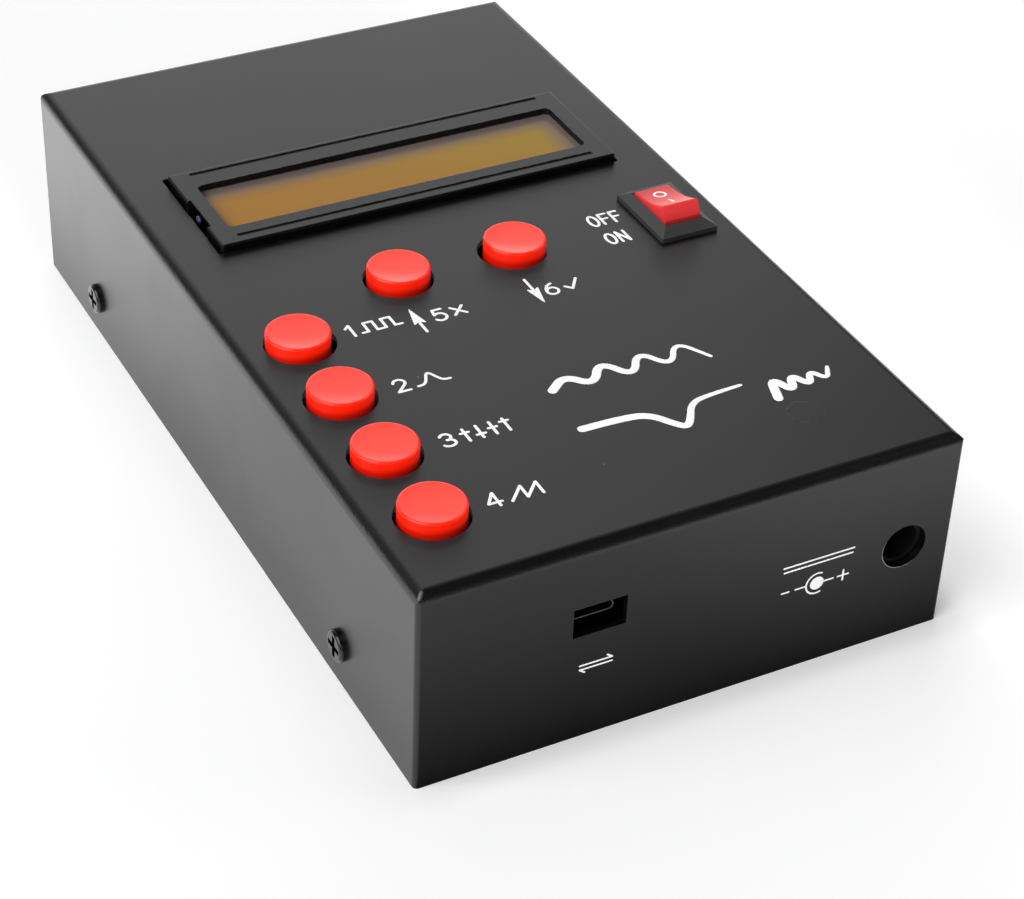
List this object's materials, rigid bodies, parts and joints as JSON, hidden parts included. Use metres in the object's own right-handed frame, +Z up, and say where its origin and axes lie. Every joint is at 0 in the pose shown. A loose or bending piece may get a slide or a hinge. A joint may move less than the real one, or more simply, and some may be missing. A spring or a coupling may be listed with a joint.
{
  "type": "antenna analyzer",
  "caption": "Hand-held antenna analyzer: black folded sheet-metal case, character display, round red push keys, red rocker switch, small data and power sockets, coaxial socket.",
  "frame": {"origin": "centre of the case's underside, on the surface that it rests on", "axes": "+Z up out of the display panel, +Y along the case towards the coaxial aerial socket, +X to the right when the display is read from the power end"},
  "size_m": [0.09, 0.166, 0.0389],
  "materials": {
    "black_coat": "satin black powder coat with a fine texture",
    "black_screw": "black zinc, slight sheen",
    "black_bezel": "semi-gloss black paint on folded steel",
    "key_red": "glossy orange-red moulding",
    "rocker_red": "semi-gloss red moulding with white marks",
    "black_plastic": "black moulding",
    "stem_plastic": "dark moulding",
    "board_laminate": "green lacquered laminate",
    "display_glass": "amber display glass, smooth",
    "light_guide": "diffusing block",
    "strip_rubber": "layered silicone strip",
    "nickel": "bright nickel plate",
    "zinc_steel": "bright zinc",
    "aluminium": "plain aluminium",
    "gold_brass": "gilt brass",
    "white_insulator": "white fluoropolymer",
    "ferrite": "fired ferrite",
    "copper_wire": "enamelled copper",
    "can_sleeve": "shrunk sleeve",
    "resistor_body": "lacquered ceramic",
    "trimmer_blue": "blue moulding",
    "rotor_white": "white moulding",
    "red_sleeve": "red insulation",
    "clear_sleeve": "natural insulation"
  },
  "bodies": {
    "case": {"aerial_contact": "gold_brass", "aerial_fasteners": "nickel", "aerial_insulator": "white_insulator", "aerial_lead": "clear_sleeve", "aerial_socket_shell": "nickel", "board_pillars": "zinc_steel", "board_screws": "zinc_steel", "bottom_tray": "black_coat", "bridge_resistors": "resistor_body", "case_screws": "black_screw", "clock_oscillator": "nickel", "contrast_trimmer": "trimmer_blue", "controller_chip": "black_plastic", "dc_jack_housing": "black_plastic", "dc_jack_pin": "zinc_steel", "filter_capacitors": "can_sleeve", "flat_chips": "black_plastic", "header_pins": "gold_brass", "header_strip": "black_plastic", "heat_sink": "aluminium", "key_switch_1": "black_plastic", "key_switch_2": "black_plastic", "key_switch_3": "black_plastic", "key_switch_4": "black_plastic", "key_switch_5": "black_plastic", "key_switch_6": "black_plastic", "lcd_backlight": "light_guide", "lcd_bezel": "black_bezel", "lcd_board": "board_laminate", "lcd_contact_strips": "strip_rubber", "lcd_glass": "display_glass", "lcd_screws": "zinc_steel", "lcd_spacers": "aluminium", "main_board": "board_laminate", "power_leads": "red_sleeve", "rocker_frame": "black_plastic", "rocker_terminals": "gold_brass", "top_cover": "black_coat", "transformer_core": "ferrite", "transformer_winding": "copper_wire", "usb_shell": "nickel", "usb_tongue": "stem_plastic", "voltage_regulator": "black_plastic"},
    "key_1": {"key_cap_1": "key_red", "key_stem_1": "stem_plastic"},
    "key_2": {"key_cap_2": "key_red", "key_stem_2": "stem_plastic"},
    "key_3": {"key_cap_3": "key_red", "key_stem_3": "stem_plastic"},
    "key_4": {"key_cap_4": "key_red", "key_stem_4": "stem_plastic"},
    "key_5": {"key_cap_5": "key_red", "key_stem_5": "stem_plastic"},
    "key_6": {"key_cap_6": "key_red", "key_stem_6": "stem_plastic"},
    "rocker": {"rocker_paddle": "rocker_red", "rocker_plunger": "stem_plastic", "rocker_spring": "zinc_steel"},
    "contact_lever": {"rocker_contact_lever": "gold_brass"},
    "trimmer": {"trimmer_rotor": "rotor_white"}
  },
  "joints": [
    {"name": "key_1_press", "type": "slide", "parent": "case", "child": "key_1", "axis": [0, 0, -1], "range_m": [0, 0.0003], "stiffness_N_per_m": 100, "springref_m": -0.0003},
    {"name": "key_2_press", "type": "slide", "parent": "case", "child": "key_2", "axis": [0, 0, -1], "range_m": [0, 0.0003], "stiffness_N_per_m": 100, "springref_m": -0.0003},
    {"name": "key_3_press", "type": "slide", "parent": "case", "child": "key_3", "axis": [0, 0, -1], "range_m": [0, 0.0003], "stiffness_N_per_m": 100, "springref_m": -0.0003},
    {"name": "key_4_press", "type": "slide", "parent": "case", "child": "key_4", "axis": [0, 0, -1], "range_m": [0, 0.0003], "stiffness_N_per_m": 100, "springref_m": -0.0003},
    {"name": "key_5_press", "type": "slide", "parent": "case", "child": "key_5", "axis": [0, 0, -1], "range_m": [0, 0.0003], "stiffness_N_per_m": 100, "springref_m": -0.0003},
    {"name": "key_6_press", "type": "slide", "parent": "case", "child": "key_6", "axis": [0, 0, -1], "range_m": [0, 0.0003], "stiffness_N_per_m": 100, "springref_m": -0.0003},
    {"name": "rocker_tilt", "type": "hinge", "parent": "case", "child": "rocker", "pos_m": [0.03445, -0.00428, 0.03505], "axis": [1, 0, 0], "range_deg": [0, 28]},
    {"name": "contact_tilt", "type": "hinge", "parent": "case", "child": "contact_lever", "pos_m": [0.03445, -0.00428, 0.02515], "axis": [1, 0, 0], "range_deg": [-16.8, 0]},
    {"name": "trimmer_turn", "type": "hinge", "parent": "case", "child": "trimmer", "pos_m": [-0.03045, 0.04777, 0.01855], "axis": [0, 0, -1], "range_deg": [-130, 130]}
  ],
  "couplings": [
    {"joint": "contact_tilt", "follows": "rocker_tilt", "ratio": -0.6}
  ]
}
